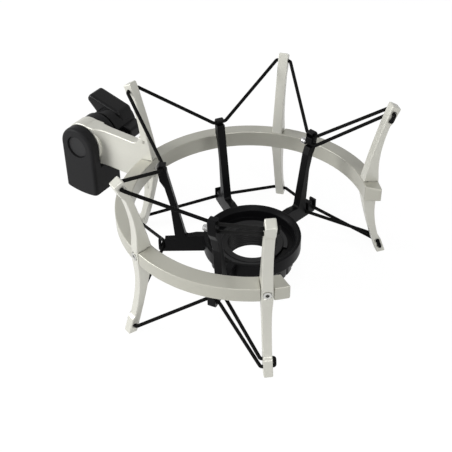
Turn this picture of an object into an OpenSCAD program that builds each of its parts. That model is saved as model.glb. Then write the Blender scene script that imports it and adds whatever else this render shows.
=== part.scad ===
// Elastic suspension for a studio microphone, with a swivelling stand adapter.
// +Z is up along the microphone axis. +X points out through the ring's opening, and the stand
// adapter is at -X. The origin is the centre of the mouth of the locking nut's thread.

/* [Ring] */
// Outer diameter of the C-shaped ring
ring_d = 150; // [135:1:190]
// Radial width of the ring
ring_w = 9.1; // [8:0.1:12]
// Height of the ring at its outer wall
ring_h = 8.2; // [7:0.1:11]
// Extra height of the inner wall over the outer one, above and below
ring_rise = 1; // [0.6:0.1:1.6]
// Rounding of the ring's edges
ring_round = 0.9; // [0.4:0.1:1.2]
// Height of the ring's middle above the thread mouth
ring_z = 26; // [22:0.5:36]
// Distance of the ring's centre behind the microphone's axis
ring_back = 2; // [0:0.5:4]
// Angle between the two front posts, across the opening
opening_angle = 98.5; // [80:1:110]
// Length of ring past each front post
ring_end = 9; // [6:0.5:12]
// Angle of each side post from the back
side_angle = 70.5; // [64:1:74]

/* [Posts] */
// Height of a post's tip over the ring's middle
tip_h = 52.7; // [46:0.5:62]
// Depth of a post's foot below the ring's middle
foot_h = 50.6; // [46:0.2:58]
// Reach of a tip's inner edge outside the ring's outer wall
tip_out = 4.2; // [2.5:0.1:5]
// Reach of a foot's inner edge outside the ring's outer wall
foot_out = 4.3; // [3:0.1:5.5]
// Radial depth of the thick end blocks
block_d = 5.2; // [5:0.1:6.4]
// Length of the upper end block
tip_block = 10.6; // [9:0.1:13]
// Length of the lower end block
foot_block = 11.4; // [10:0.1:14]
// Drop of a tip's sloping top face
tip_drop = 2.6; // [1.5:0.1:3.5]
// Height of the ledge under an end block
ledge_h = 2.2; // [1:0.1:3]
// Radial depth of the upper stem just under its block
stem_d_up = 4; // [3.4:0.1:5]
// Radial depth of the lower stem just over its block
stem_d_low = 5; // [4:0.1:5.4]
// Bow of the legs' inner edge
leg_bow = 0.85; // [0:0.05:1.2]
// Width of a post where it sits in the ring
post_w = 6.6; // [6.2:0.1:8]
// Width of the upper leg
leg_w_up = 5.7; // [5.2:0.1:6.4]
// Width of the lower leg
leg_w_low = 5.1; // [4.6:0.1:6]
// Thickness of the ring's web behind each post
web_t = 2.8; // [2.4:0.1:4]
// How far a post stands proud of the ring
post_proud = 0.35; // [0.1:0.05:0.8]
// Gap between a post and its notch
notch_gap = 0.12; // [0.08:0.01:0.2]

/* [Post screws] */
// Shank diameter of a post screw
screw_d = 2.6; // [2.2:0.1:3.2]
// Head diameter of a post screw
screw_head_d = 4.4; // [4:0.1:5]
// Head height of a post screw
screw_head_h = 1.6; // [1.2:0.1:2]
// Depth of the seat that the head sits in
screw_seat = 1.2; // [0.8:0.1:1.4]

/* [Elastic] */
// Diameter of the elastic cord
cord_d = 2; // [1.6:0.1:2.4]
// Radial gap between the cord and a hole or hook seat
cord_gap = 0.3; // [0.25:0.05:0.4]
// Height of the upper cord hole under the tip of a post
hole_down = 5.1; // [4.6:0.1:6]
// Height of the lower cord hole over the foot of a post
hole_up = 5; // [4.4:0.1:6]
// Spacing of the two cord holes in a front post
hole_pitch = 4.7; // [4.2:0.1:5.4]
// Outer diameter of a crimp
crimp_d = 3.8; // [3.2:0.1:4.4]
// Length of a crimp
crimp_l = 5; // [4:0.1:6]

/* [Cradle] */
// Outer diameter of the cup
cup_d = 56; // [52:0.5:62]
// Height of the cup's rim over the thread mouth
cup_rim = 5.5; // [4:0.1:8]
// Thickness of the cup's wall
cup_wall = 3.7; // [3:0.1:4.6]
// Width of the chamfer inside the rim
rim_chamfer = 1.9; // [1:0.1:2.2]
// Depth of the cup's floor below the thread mouth
floor_down = 1.3; // [1.2:0.1:2]
// Thickness of the cup's floor
floor_t = 2.4; // [1.6:0.1:3]
// Radius of the lower hooks' cord seats
foot_r = 51.4; // [48:0.2:56]
// Height of the lower hooks' cord seats
foot_hook_z = -2.4; // [-3:0.1:-1.8]
// Radius of the upper hooks' cord seats
arm_r = 49.4; // [46:0.2:52]
// Height of the upper hooks' cord seats
arm_hook_z = 52; // [46:0.5:60]
// Width of the arms
arm_w = 4.6; // [4:0.1:5.4]
// Distance between the two seats on the front arms
seat_pitch = 6; // [5.2:0.1:7]
// Angle of each back arm from the back
back_arm_angle = 33.5; // [30:0.5:38]
// Angle of each front arm from the back
front_arm_angle = 99.5; // [94:0.5:104]

/* [Locking nut] */
// Diameter of the microphone thread
thread_d = 28.6; // [26:0.1:30]
// Wall between the thread and the outside of the nut's neck
neck_wall = 3.7; // [3:0.1:4.4]
// Diameter of the nut's grip
grip_d = 48; // [44:0.5:52]
// Length of the nut below the thread mouth
nut_l = 14.7; // [12:0.1:18]
// Number of finger flutes round the grip
flutes = 20; // [12:1:28]

/* [Bracket] */
// Distance of the swivel's pivot outside the ring's outer wall
pivot_out = 43.5; // [40:0.5:54]
// Height of the pivot over the ring's middle
pivot_up = 0.2; // [-2:0.1:3]
// Diameter of the barrel
barrel_d = 25.8; // [24:0.2:28]
// Width of the barrel
barrel_w = 10; // [8:0.1:12]
// Thickness of the bracket's plate
plate_t = 6; // [5:0.1:6.2]

/* [Swivel] */
// Width of the swivel body across its two ears
swivel_w = 24; // [21:0.2:26]
// Diameter of the ears, and length of the base
ear_d = 25; // [24:0.2:26]
// Depth of the base below the pivot
base_h = 33.4; // [30:0.1:40]
// Rounding of the body's edges
body_round = 2.4; // [1:0.1:3]
// Diameter of the pivot bolt
bolt_d = 6; // [5:0.1:7]
// Diameter of the plug over the bolt's head
plug_d = 14.4; // [13:0.1:15]
// Diameter of the thread in the base's insert
insert_bore = 15; // [14:0.1:16]
// Wall of the insert
insert_wall = 2; // [1.5:0.1:2.5]
// Length of the insert
insert_l = 15; // [12:0.1:16]
// Diameter of the thread in the reducer
stand_thread_d = 8; // [7:0.1:9]

/* [Clamp lever] */
// Diameter of the lever's hub
hub_d = 22.4; // [20:0.2:24]
// Length of the lever's hub
hub_l = 19; // [16:0.1:22]
// Width of the lever's blade
blade_w = 11; // [8:0.1:13]
// Reach of the blade's tip from the pivot
blade_reach = 17.5; // [15:0.1:26]
// Reach of the short tail from the pivot
tail_reach = 17; // [14:0.1:22]

/* [Hidden] */
$fn = 96;

ring_r = ring_d / 2;
ring_in = ring_r - ring_w;
notch_r = ring_in + web_t;
front_angle = opening_angle / 2;
post_angles = [180, 180 - side_angle, 180 + side_angle, front_angle, -front_angle];
end_angle = front_angle - (post_w / 2 + ring_end) / (ring_r * PI / 180);
arm_angles = [180 - back_arm_angle, 180 + back_arm_angle,
    180 - front_arm_angle, 180 + front_arm_angle];
hole_r = cord_d / 2 + cord_gap;
overrun = 1;

// Radial clearances
tap_gap = 0.05;
shank_gap = 0.15;
head_gap = 0.1;
// Metal left beyond the end of a post screw
screw_end = 0.9;
// Hexagon socket of a post screw, radius and depth
socket_r = 1.15;
socket_deep = 0.9;

// Half height of the ring at radius r
function ring_half(r) = ring_h / 2 + ring_rise * (ring_r - r) / ring_w;

// Corner points of a shape with each corner cut by a short arc of n + 1 points
function unit(v) = v / norm(v);
function bend(a, b, c, r, n) = let(
    u = unit(a - b),
    v = unit(c - b),
    half = acos(u * v) / 2,
    back = r / tan(half))
    [for (i = [0:n]) let(s = i / n)
        (1 - s) * (1 - s) * (b + u * back) + 2 * s * (1 - s) * b + s * s * (b + v * back)];
function softened(pts, r, n = 4) = [for (i = [0:len(pts) - 1])
    each bend(pts[(i + len(pts) - 1) % len(pts)], pts[i], pts[(i + 1) % len(pts)], r, n)];

// ---------- ring ----------

module ring_section() {
    polygon(softened([
        [ring_in, -ring_half(ring_in)],
        [ring_r, -ring_h / 2],
        [ring_r, ring_h / 2],
        [ring_in, ring_half(ring_in)]], ring_round));
}

module at_post(angle) {
    translate([-ring_back, 0, ring_z]) rotate([0, 0, angle]) children();
}

module radial_rod(r, from, to) {
    translate([from, 0, 0]) rotate([0, 90, 0]) cylinder(r = r, h = to - from);
}

module ring_frame() {
    color([0.78, 0.77, 0.72]) difference() {
        at_post(end_angle) rotate_extrude(angle = 360 - 2 * end_angle, $fn = 180) ring_section();
        for (angle = post_angles) at_post(angle) {
            translate([notch_r, -post_w / 2 - notch_gap, -ring_h])
                cube([ring_w, post_w + 2 * notch_gap, 2 * ring_h]);
            if (angle != 180)
                radial_rod(screw_d / 2 + tap_gap, ring_in + screw_end - 0.2, notch_r + overrun);
        }
        at_post(180) {
            radial_rod(screw_d / 2 + shank_gap, ring_in - overrun, notch_r + overrun);
            radial_rod(screw_head_d / 2 + head_gap, ring_in - overrun, ring_in + screw_seat);
        }
    }
}

// ---------- posts ----------

// Outline of one leg, from the ring's top face up to its tip. x is the radius.
root_up = ring_half(ring_in) - 0.6;
root_in = ring_in + 0.25;
function leg_in(v, tip, out) = let(s = (v - root_up) / (tip - root_up))
    root_in + (ring_r + out - root_in) * s - 4 * leg_bow * s * (1 - s);
function leg_outline(tip, out, block, drop, stem) = let(
    shelf = tip - block - ledge_h,
    root_d = ring_r + post_proud - root_in,
    steps = 8)
    concat(
        [for (i = [0:steps]) let(v = root_up + (tip - root_up) * i / steps)
            [leg_in(v, tip, out), v]],
        [[leg_in(tip, tip, out) + block_d, tip - drop],
         [leg_in(shelf + ledge_h, tip, out) + block_d, shelf + ledge_h]],
        [for (i = [0:steps]) let(
            s = 1 - i / steps,
            v = root_up + (shelf - root_up) * s)
            [leg_in(v, tip, out) + stem + (root_d - stem) * pow(1 - s, 2.4), v]]);

module leg(tip, out, block, drop, stem, w) {
    rotate([90, 0, 0]) translate([0, 0, -w / 2])
        linear_extrude(w) polygon(leg_outline(tip, out, block, drop, stem));
}

// Height and radius of the cord holes, from the ring's middle
up_z = tip_h - hole_down;
up_r = leg_in(up_z, tip_h, tip_out) + block_d * 0.55;
low_z = foot_h - hole_up;
low_r = leg_in(low_z, foot_h, foot_out) + block_d * 0.55;
lean_up = atan2(leg_in(tip_h, tip_h, tip_out) - leg_in(up_z, tip_h, tip_out), hole_down);
lean_low = atan2(leg_in(foot_h, foot_h, foot_out) - leg_in(low_z, foot_h, foot_out), hole_up);
// Each entry is the radius and height of a cord hole: main, then second
up_holes = [[up_r, up_z],
    [up_r - hole_pitch * sin(lean_up), up_z - hole_pitch * cos(lean_up)]];
low_holes = [[low_r, -low_z],
    [low_r - hole_pitch * sin(lean_low), -low_z + hole_pitch * cos(lean_low)]];

module cord_holes(double) {
    for (hole = concat([up_holes[0], low_holes[0]], double ? [up_holes[1], low_holes[1]] : []))
        translate([hole[0], 0, hole[1]]) rotate([90, 0, 0])
            cylinder(r = hole_r, h = 2 * post_w, center = true, $fn = 32);
}

module web_room() {
    room = 0.06;
    rotate_extrude($fn = 180) polygon([
        [ring_in - ring_w, -ring_half(ring_in) - room],
        [ring_in, -ring_half(ring_in) - room],
        [notch_r + notch_gap, -ring_half(notch_r + notch_gap) - room],
        [notch_r + notch_gap, ring_half(notch_r + notch_gap) + room],
        [ring_in, ring_half(ring_in) + room],
        [ring_in - ring_w, ring_half(ring_in) + room]]);
}

module post_body() {
    leg(tip_h, tip_out, tip_block, tip_drop, stem_d_up, leg_w_up);
    mirror([0, 0, 1]) leg(foot_h, foot_out, foot_block, 0, stem_d_low, leg_w_low);
    translate([root_in, -post_w / 2, -root_up - 0.7])
        cube([ring_r + post_proud - root_in, post_w, 2 * root_up + 1.4]);
}

module screwed_post(angle, double) {
    color([0.82, 0.81, 0.78]) at_post(angle) difference() {
        post_body();
        web_room();
        cord_holes(double);
        radial_rod(screw_d / 2 + shank_gap, notch_r - overrun, ring_r + overrun);
        radial_rod(screw_head_d / 2 + head_gap, ring_r + post_proud - screw_seat, ring_r + 2);
    }
}

module post_left() { screwed_post(post_angles[1], false); }
module post_right() { screwed_post(post_angles[2], false); }
module post_front_left() { screwed_post(post_angles[3], true); }
module post_front_right() { screwed_post(post_angles[4], true); }

module screw(length) {
    difference() {
        union() {
            radial_rod(screw_d / 2, -length, screw_head_h / 2);
            radial_rod(screw_head_d / 2, 0, screw_head_h);
        }
        translate([screw_head_h - socket_deep, 0, 0]) rotate([0, 90, 0])
            cylinder(r = socket_r, h = overrun + socket_deep, $fn = 6);
    }
}

module post_screws() {
    color([0.72, 0.72, 0.7]) {
        seat = ring_r + post_proud - screw_seat;
        for (i = [1:4]) at_post(post_angles[i])
            translate([seat, 0, 0]) screw(seat - ring_in - screw_end);
        at_post(180) translate([ring_in + screw_seat, 0, 0]) mirror([1, 0, 0])
            screw(ring_w - screw_seat - screw_end - 0.5);
    }
}

// ---------- bracket ----------

pivot_x = -ring_back - ring_r - pivot_out;
pivot_z = ring_z + pivot_up;
barrel_r = barrel_d / 2;
bush_r = bolt_d / 2 + 1.5;

module at_pivot() {
    translate([pivot_x, 0, pivot_z]) children();
}

module cross_rod(r, from, to) {
    translate([0, to, 0]) rotate([90, 0, 0]) cylinder(r = r, h = to - from);
}

// Side outline of the plate between the barrel and the back post, from the ring's middle
function plate_outline() = let(
    top = pivot_up + barrel_r,
    bottom = pivot_up - barrel_r + 0.4,
    corner = 5,
    up_leg = ring_r - 0.5,
    steps = 6)
    concat(
        [[ring_r + pivot_out, top]],
        [for (i = [0:steps]) let(a = 90 * i / steps)
            [up_leg + corner - corner * sin(a) + 2, top + corner - corner * cos(a)]],
        [[up_leg - 2, top + corner], [up_leg - 2, bottom - corner]],
        [for (i = [0:steps]) let(a = 90 * (1 - i / steps))
            [up_leg + corner - corner * sin(a), bottom - corner + corner * cos(a)]],
        [[ring_r + pivot_out, bottom]]);

// Plan outline that thins the barrel down to the plate
function plan_half() = let(
    flare = 11,
    near = ring_r + pivot_out - barrel_r + 4,
    steps = 8)
    concat(
        [[ring_r - 4, plate_t / 2]],
        [for (i = [0:steps]) let(s = i / steps)
            [near - flare + flare * s,
             plate_t / 2 + (barrel_w - plate_t) / 2 * (1 - sqrt(1 - s * s))]],
        [[ring_r + pivot_out + barrel_r + overrun, barrel_w / 2]]);

module bracket_arm() {
    intersection() {
        rotate([90, 0, 0]) translate([0, 0, -barrel_w / 2]) linear_extrude(barrel_w) union() {
            polygon(plate_outline());
            translate([ring_r + pivot_out, pivot_up]) circle(r = barrel_r);
        }
        translate([0, 0, -foot_h]) linear_extrude(2 * foot_h)
            polygon(concat(plan_half(), [for (i = [len(plan_half()) - 1:-1:0])
                [plan_half()[i][0], -plan_half()[i][1]]]));
    }
}

module bracket_post() {
    color([0.84, 0.83, 0.8]) difference() {
        at_post(180) difference() {
            union() {
                post_body();
                bracket_arm();
            }
            web_room();
            cord_holes(false);
            radial_rod(screw_d / 2 + tap_gap, notch_r - overrun, ring_r + overrun);
        }
        at_pivot() cross_rod(bush_r, -barrel_w, barrel_w);
    }
}

// ---------- elastic ----------

// A point at an angle, radius and height, moved sideways by t
function polar(angle, r, z, t) =
    [r * cos(angle) - t * sin(angle), r * sin(angle) + t * cos(angle), z];

// Cord seats of the arms, radius and height: main, then second
lean_arm = 11;
up_seats = [[arm_r, arm_hook_z],
    [arm_r - seat_pitch * sin(lean_arm), arm_hook_z - seat_pitch * cos(lean_arm)]];
low_seats = [[foot_r, foot_hook_z], [foot_r - seat_pitch, foot_hook_z]];
// The cord bends this far outside the face that it comes out of
face_gap = cord_d / 2 + 0.2;
at_arm = arm_w / 2 + face_gap;
at_leg = [leg_w_up / 2 + face_gap, leg_w_low / 2 + face_gap];
cord_sides = 8;
crimp_at = arm_w / 2 + 0.25;
crimp_gap = 0.1;
corner_cut = 0.8;

// The two ends of the cord's straight stretch through a hook's seat or a post's hole.
// turn is 1 where the cord runs to larger angles and -1 where it runs back.
function through_seat(angle, seat, turn) =
    [for (side = [-turn, turn]) polar(angle, seat[0], seat[1], side * at_arm)];
function through_hole(angle, hole, t, turn) =
    [for (side = [-turn, turn])
        polar(angle, hole[0], ring_z + hole[1], side * t) - [ring_back, 0, 0]];

// Route from the crimp at the front left arm round the back to the one at the front right arm
function route(holes, seats, t) = let(
    left = arm_angles[2],
    right = arm_angles[3],
    crimp_end = crimp_at + crimp_l - 0.45)
    concat(
        [polar(left, seats[1][0], seats[1][1], crimp_end)],
        [polar(left, seats[1][0], seats[1][1], -at_arm)],
        through_hole(post_angles[3], holes[1], t, -1),
        through_hole(post_angles[3], holes[0], t, 1),
        through_seat(left, seats[0], 1),
        through_hole(post_angles[1], holes[0], t, 1),
        through_seat(arm_angles[0], seats[0], 1),
        through_hole(180, holes[0], t, 1),
        through_seat(arm_angles[1], seats[0], 1),
        through_hole(post_angles[2], holes[0], t, 1),
        through_seat(right, seats[0], 1),
        through_hole(post_angles[4], holes[0], t, 1),
        through_hole(post_angles[4], holes[1], t, -1),
        [polar(right, seats[1][0], seats[1][1], at_arm)],
        [polar(right, seats[1][0], seats[1][1], -crimp_end)]);

// The route with each corner eased, and a ring of points carried along it
function eased(pts, d) = concat([pts[0]],
    [for (i = [1:len(pts) - 2]) let(
        back = unit(pts[i - 1] - pts[i]) * d,
        on = unit(pts[i + 1] - pts[i]) * d)
        each [pts[i] + back, pts[i] + (back + on) / 4, pts[i] + on]],
    [pts[len(pts) - 1]]);
function along(pts, i) = unit(pts[min(i + 1, len(pts) - 1)] - pts[max(i - 1, 0)]);
function square_to(v, dir) = unit(v - dir * (v * dir));
function frames(pts, i, side) = i == len(pts) ? [] :
    let(now = square_to(side, along(pts, i)))
    concat([now], frames(pts, i + 1, now));

module cord(pts, r, sides) {
    sideways = frames(pts, 0, [0, 0.3, 1]);
    points = [for (i = [0:len(pts) - 1]) let(
        u = sideways[i],
        v = cross(along(pts, i), u))
        each [for (k = [0:sides - 1]) let(a = 360 * k / sides)
            pts[i] + r * (u * cos(a) + v * sin(a))]];
    last = (len(pts) - 1) * sides;
    walls = [for (i = [0:len(pts) - 2]) each [for (k = [0:sides - 1]) let(
        n = (k + 1) % sides,
        low = i * sides)
        [low + k, low + sides + k, low + sides + n, low + n]]];
    polyhedron(
        points = points,
        faces = concat([[for (k = [0:sides - 1]) k]], walls,
            [[for (k = [sides - 1:-1:0]) last + k]]),
        convexity = 10);
}

module elastic(holes, seats, t) {
    cord(eased(route(holes, seats, t), corner_cut), cord_d / 2, cord_sides);
}

module upper_elastic() {
    color([0.05, 0.05, 0.05]) elastic(up_holes, up_seats, at_leg[0]);
}

module lower_elastic() {
    color([0.05, 0.05, 0.05]) elastic(low_holes, low_seats, at_leg[1]);
}

module elastic_crimps() {
    color([0.75, 0.75, 0.75]) for (seats = [up_seats, low_seats], side = [2, 3])
        rotate([0, 0, arm_angles[side]])
            translate([seats[1][0], 0, seats[1][1]])
                mirror([0, side - 2, 0])
                    difference() {
                        cross_rod(crimp_d / 2, crimp_at, crimp_at + crimp_l);
                        cross_rod(cord_d / 2 + crimp_gap, arm_w / 2, crimp_at + crimp_l + overrun);
                    }
}

// ---------- cradle ----------

cup_r = cup_d / 2;
thread_r = thread_d / 2;
seat_r = cup_r - cup_wall;
floor_z = -floor_down;
cup_bottom = floor_z - floor_t;
neck_gap = 0.08;
neck_r = thread_r + neck_wall;

// Side outline of an arm's foot, from inside the cup's wall to past its hook
bar_top = 2.2;
bar_bottom = -5.4;
function foot_side() = softened([
    [seat_r + 1.2, bar_bottom],
    [foot_r + 1.2, bar_bottom - 0.6],
    [foot_r + 2.6, bar_bottom + 0.8],
    [foot_r + 2.6, bar_top],
    [foot_r - 7, bar_top + 0.4],
    [cup_r + 4, cup_rim],
    [seat_r + 1.2, cup_rim]], 0.6);

// Side outline of an upright, from its foot to the hook at its top
knob_z = arm_hook_z + 3.6;
function upright_side() = softened([
    [foot_r - 14.6, 0],
    [foot_r - 7.6, 0],
    [arm_r - 3.4, arm_hook_z - 24],
    [arm_r - 0.9, arm_hook_z - 12.5],
    [arm_r + 1.6, arm_hook_z - 8],
    [arm_r + 2.6, arm_hook_z + 1],
    [arm_r + 1.4, knob_z],
    [arm_r - 2.3, knob_z],
    [arm_r - 2.9, arm_hook_z - 4]], 0.5);

// The open slots let the cord in from the inside, away from its pull
module seats_cut(double) {
    for (i = double ? [0, 1] : [0]) {
        translate([up_seats[i][0], up_seats[i][1]]) circle(r = hole_r, $fn = 32);
        translate([up_seats[i][0] - 8, up_seats[i][1] - hole_r + 0.15])
            square([8, 2 * hole_r - 0.3]);
        translate([low_seats[i][0], low_seats[i][1]]) circle(r = hole_r, $fn = 32);
        translate([low_seats[i][0] - hole_r + 0.15, low_seats[i][1]])
            square([2 * hole_r - 0.3, 12]);
    }
}

module arm(double) {
    rotate([90, 0, 0]) translate([0, 0, -arm_w / 2]) linear_extrude(arm_w) difference() {
        union() {
            polygon(foot_side());
            polygon(upright_side());
        }
        seats_cut(double);
    }
}

module cradle() {
    color([0.1, 0.1, 0.11]) {
        rotate_extrude() polygon([
            [neck_r + neck_gap, cup_bottom],
            [cup_r - 0.8, cup_bottom],
            [cup_r, cup_bottom + 0.8],
            [cup_r, cup_rim - 0.5],
            [cup_r - 0.5, cup_rim],
            [seat_r + rim_chamfer, cup_rim],
            [seat_r, cup_rim - rim_chamfer],
            [seat_r, floor_z],
            [neck_r + neck_gap, floor_z]]);
        for (i = [0:3]) rotate([0, 0, arm_angles[i]]) arm(i > 1);
    }
}

// ---------- locking nut ----------

clip_t = 0.7;
clip_z = floor_z + 0.15;
clip_gap = 0.05;
groove_r = neck_r - 0.8;
washer_t = 0.5;
shoulder_z = cup_bottom - washer_t - 0.1;
flute_r = 2;
grip_r = grip_d / 2;

module locking_nut() {
    color([0.13, 0.13, 0.14]) difference() {
        rotate_extrude() polygon([
            [thread_r, -nut_l],
            [grip_r - 1, -nut_l],
            [grip_r, -nut_l + 1],
            [grip_r, shoulder_z - 0.5],
            [grip_r - 0.5, shoulder_z],
            [neck_r, shoulder_z],
            [neck_r, clip_z - clip_gap],
            [groove_r, clip_z - clip_gap],
            [groove_r, clip_z + clip_t + clip_gap],
            [neck_r, clip_z + clip_t + clip_gap],
            [neck_r, -0.2],
            [neck_r - 0.2, 0],
            [thread_r, 0]]);
        for (i = [0:flutes - 1]) rotate([0, 0, 360 * i / flutes])
            translate([grip_r + flute_r * 0.6, 0, -nut_l - overrun])
                cylinder(r = flute_r, h = nut_l + overrun + shoulder_z - 1, $fn = 32);
    }
}

module retaining_ring() {
    color([0.6, 0.6, 0.62]) rotate([0, 0, 20])
        rotate_extrude(angle = 320)
            translate([groove_r + clip_gap, clip_z]) square([neck_r - groove_r + 2.2, clip_t]);
}

module thrust_washer() {
    color([0.85, 0.84, 0.8]) difference() {
        translate([0, 0, cup_bottom - washer_t]) cylinder(r = grip_r - 0.8, h = washer_t);
        translate([0, 0, cup_bottom - 2]) cylinder(r = neck_r + 0.3, h = 4);
    }
}

// ---------- swivel ----------

ear_r = ear_d / 2;
half_w = swivel_w / 2;
play = 0.1;
disc_t = 0.5;
slot_half = barrel_w / 2 + disc_t + play;
bolt_r = bolt_d / 2;
plug_r = plug_d / 2;
plug_t = 1.1;
plug_sunk = 0.6;
head_t = 2.2;
head_r = 5.6;
pocket_y = -half_w + plug_sunk + plug_t;
head_y = pocket_y + 0.1;
hub_r = hub_d / 2;
hub_y = half_w + 1;
bolt_gap = 0.1;
bush_gap = 0.02;
insert_r = insert_bore / 2 + insert_wall;
insert_z = 0.8 - base_h;
flange_t = 0.85;
coin_slot = 1.6;

module pivot_bush() {
    color([0.88, 0.87, 0.83]) at_pivot() difference() {
        cross_rod(bush_r - bush_gap, -barrel_w / 2, barrel_w / 2);
        cross_rod(bolt_r + bolt_gap / 2, -barrel_w, barrel_w);
    }
}

module swivel_blank() {
    intersection() {
        rotate([90, 0, 0]) translate([0, 0, -half_w]) linear_extrude(swivel_w) union() {
            circle(r = ear_r);
            polygon(concat([[ear_r, 0], [-ear_r, 0]],
                [for (i = [0:8]) let(s = i / 4 - 1)
                    [ear_r * s, -base_h + 1.6 * s * s]]));
        }
        translate([0, 0, -base_h - overrun]) linear_extrude(base_h + ear_r + 2 * overrun)
            polygon(softened([[-ear_r, -half_w], [ear_r, -half_w],
                [ear_r, half_w], [-ear_r, half_w]], body_round, 6));
        union() {
            rotate([90, 0, 0]) rotate_extrude() polygon(concat(
                [[0, -half_w]],
                bend([0, -half_w], [ear_r, -half_w], [ear_r, half_w], body_round, 6),
                bend([ear_r, -half_w], [ear_r, half_w], [0, half_w], body_round, 6),
                [[0, half_w]]));
            translate([-ear_r, -half_w, -base_h - overrun])
                cube([ear_d, swivel_w, base_h + overrun]);
        }
    }
}

module swivel_body() {
    color([0.17, 0.17, 0.18]) at_pivot() difference() {
        swivel_blank();
        translate([-2 * ear_r, -slot_half, -barrel_r - 0.7])
            cube([4 * ear_r, 2 * slot_half, 2 * barrel_d]);
        cross_rod(bolt_r + bolt_gap, -2 * half_w, 2 * half_w);
        cross_rod(plug_r + head_gap, -2 * half_w, pocket_y);
        translate([0, head_y + head_t, 0]) rotate([90, 0, 0])
            cylinder(r = head_r + head_gap * 1.5, h = head_t + 0.5, $fn = 6);
        translate([0, 0, -base_h - overrun])
            cylinder(r = insert_r + tap_gap, h = insert_l + overrun + base_h + insert_z);
    }
}

module friction_washers() {
    color([0.9, 0.89, 0.84]) at_pivot() for (side = [-1, 1]) difference() {
        cross_rod(ear_r - 2.2, side * (slot_half - disc_t / 2) - disc_t / 2,
            side * (slot_half - disc_t / 2) + disc_t / 2);
        cross_rod(bolt_r + shank_gap, -half_w, half_w);
    }
}

module pivot_bolt() {
    color([0.7, 0.7, 0.72]) at_pivot() {
        cross_rod(bolt_r, head_y + head_t / 2, hub_y + hub_l - 4);
        translate([0, head_y + head_t, 0]) rotate([90, 0, 0])
            cylinder(r = head_r, h = head_t, $fn = 6);
    }
}

module pivot_plug() {
    color([0.22, 0.22, 0.23]) at_pivot() cross_rod(plug_r, -half_w + plug_sunk, pocket_y);
}

module thread_insert() {
    color([0.75, 0.68, 0.45]) at_pivot() translate([0, 0, insert_z]) difference() {
        cylinder(r = insert_r, h = insert_l);
        translate([0, 0, -overrun]) cylinder(r = insert_bore / 2, h = insert_l + 2 * overrun);
    }
}

module thread_reducer() {
    color([0.78, 0.72, 0.5]) at_pivot() translate([0, 0, insert_z]) difference() {
        union() {
            translate([0, 0, -flange_t - tap_gap])
                cylinder(r = insert_bore / 2 + 1, h = flange_t);
            translate([0, 0, -flange_t / 2])
                cylinder(r = insert_bore / 2 - tap_gap, h = insert_l - 0.5);
        }
        translate([0, 0, -2 * overrun])
            cylinder(r = stand_thread_d / 2, h = insert_l + 4 * overrun);
        translate([-insert_bore, -coin_slot / 2, -2 * overrun])
            cube([2 * insert_bore, coin_slot, 2 * overrun + 0.4]);
    }
}

// ---------- clamp lever ----------

blade_y = hub_y + hub_l - blade_w;
nut_r = 6.5;
nut_y = hub_y + 2;
nut_t = hub_l - 7;
cap_t = 1.6;
cap_r = nut_r + 1.5;

module lever_washer() {
    color([0.72, 0.72, 0.74]) at_pivot() difference() {
        cross_rod(hub_r - 2, half_w + tap_gap, hub_y - shank_gap);
        cross_rod(bolt_r + shank_gap, 0, 2 * half_w);
    }
}

function blade_side() = softened([
    [-hub_r * 0.88, hub_r * 0.4],
    [-blade_reach, hub_r * 1.12],
    [-blade_reach + 2.3, hub_r * 1.38],
    [hub_r * 0.44, hub_r],
    [0, 0]], 0.8);

function tail_side() = softened([
    [0, -hub_r * 0.6],
    [tail_reach - 1, -hub_r * 0.55],
    [tail_reach, -hub_r * 0.4],
    [tail_reach, hub_r * 0.3],
    [hub_r * 0.9, hub_r * 0.38],
    [0, hub_r * 0.38]], 0.8);

module clamp_lever() {
    color([0.12, 0.12, 0.13]) at_pivot() difference() {
        union() {
            rotate([90, 0, 0]) rotate_extrude() polygon([
                [0, -hub_y],
                [hub_r - 0.6, -hub_y],
                [hub_r, -hub_y - 0.6],
                [hub_r, -hub_y - hub_l + 0.8],
                [hub_r - 0.8, -hub_y - hub_l],
                [0, -hub_y - hub_l]]);
            translate([0, blade_y + blade_w, 0]) rotate([90, 0, 0]) {
                linear_extrude(blade_w - 0.8) polygon(blade_side());
                linear_extrude(blade_w - 0.8) polygon(tail_side());
            }
        }
        cross_rod(bolt_r + bolt_gap, 0, hub_y + hub_l);
        translate([0, nut_y + nut_t, 0]) rotate([90, 0, 0])
            cylinder(r = nut_r + head_gap, h = nut_t, $fn = 6);
        cross_rod(nut_r + head_gap, nut_y + nut_t - 0.5, hub_y + hub_l + overrun);
        cross_rod(cap_r + head_gap, hub_y + hub_l - cap_t, hub_y + hub_l + overrun);
    }
}

module lever_nut() {
    color([0.76, 0.69, 0.46]) at_pivot() difference() {
        translate([0, nut_y + nut_t - 0.6, 0]) rotate([90, 0, 0])
            cylinder(r = nut_r, h = nut_t - 0.7, $fn = 6);
        cross_rod(bolt_r + tap_gap, 0, 3 * half_w);
    }
}

module lever_cap() {
    color([0.14, 0.14, 0.15]) at_pivot()
        cross_rod(cap_r, hub_y + hub_l - cap_t + tap_gap, hub_y + hub_l);
}

ring_frame();
bracket_post();
post_left();
post_right();
post_front_left();
post_front_right();
post_screws();
upper_elastic();
lower_elastic();
elastic_crimps();
cradle();
retaining_ring();
thrust_washer();
locking_nut();
pivot_bush();
swivel_body();
friction_washers();
pivot_bolt();
pivot_plug();
thread_insert();
thread_reducer();
lever_washer();
clamp_lever();
lever_nut();
lever_cap();
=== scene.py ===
from math import acos, asin, cos, pi, radians, sin, sqrt, tan

import bmesh
import bpy
from mathutils import Matrix, Vector


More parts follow.
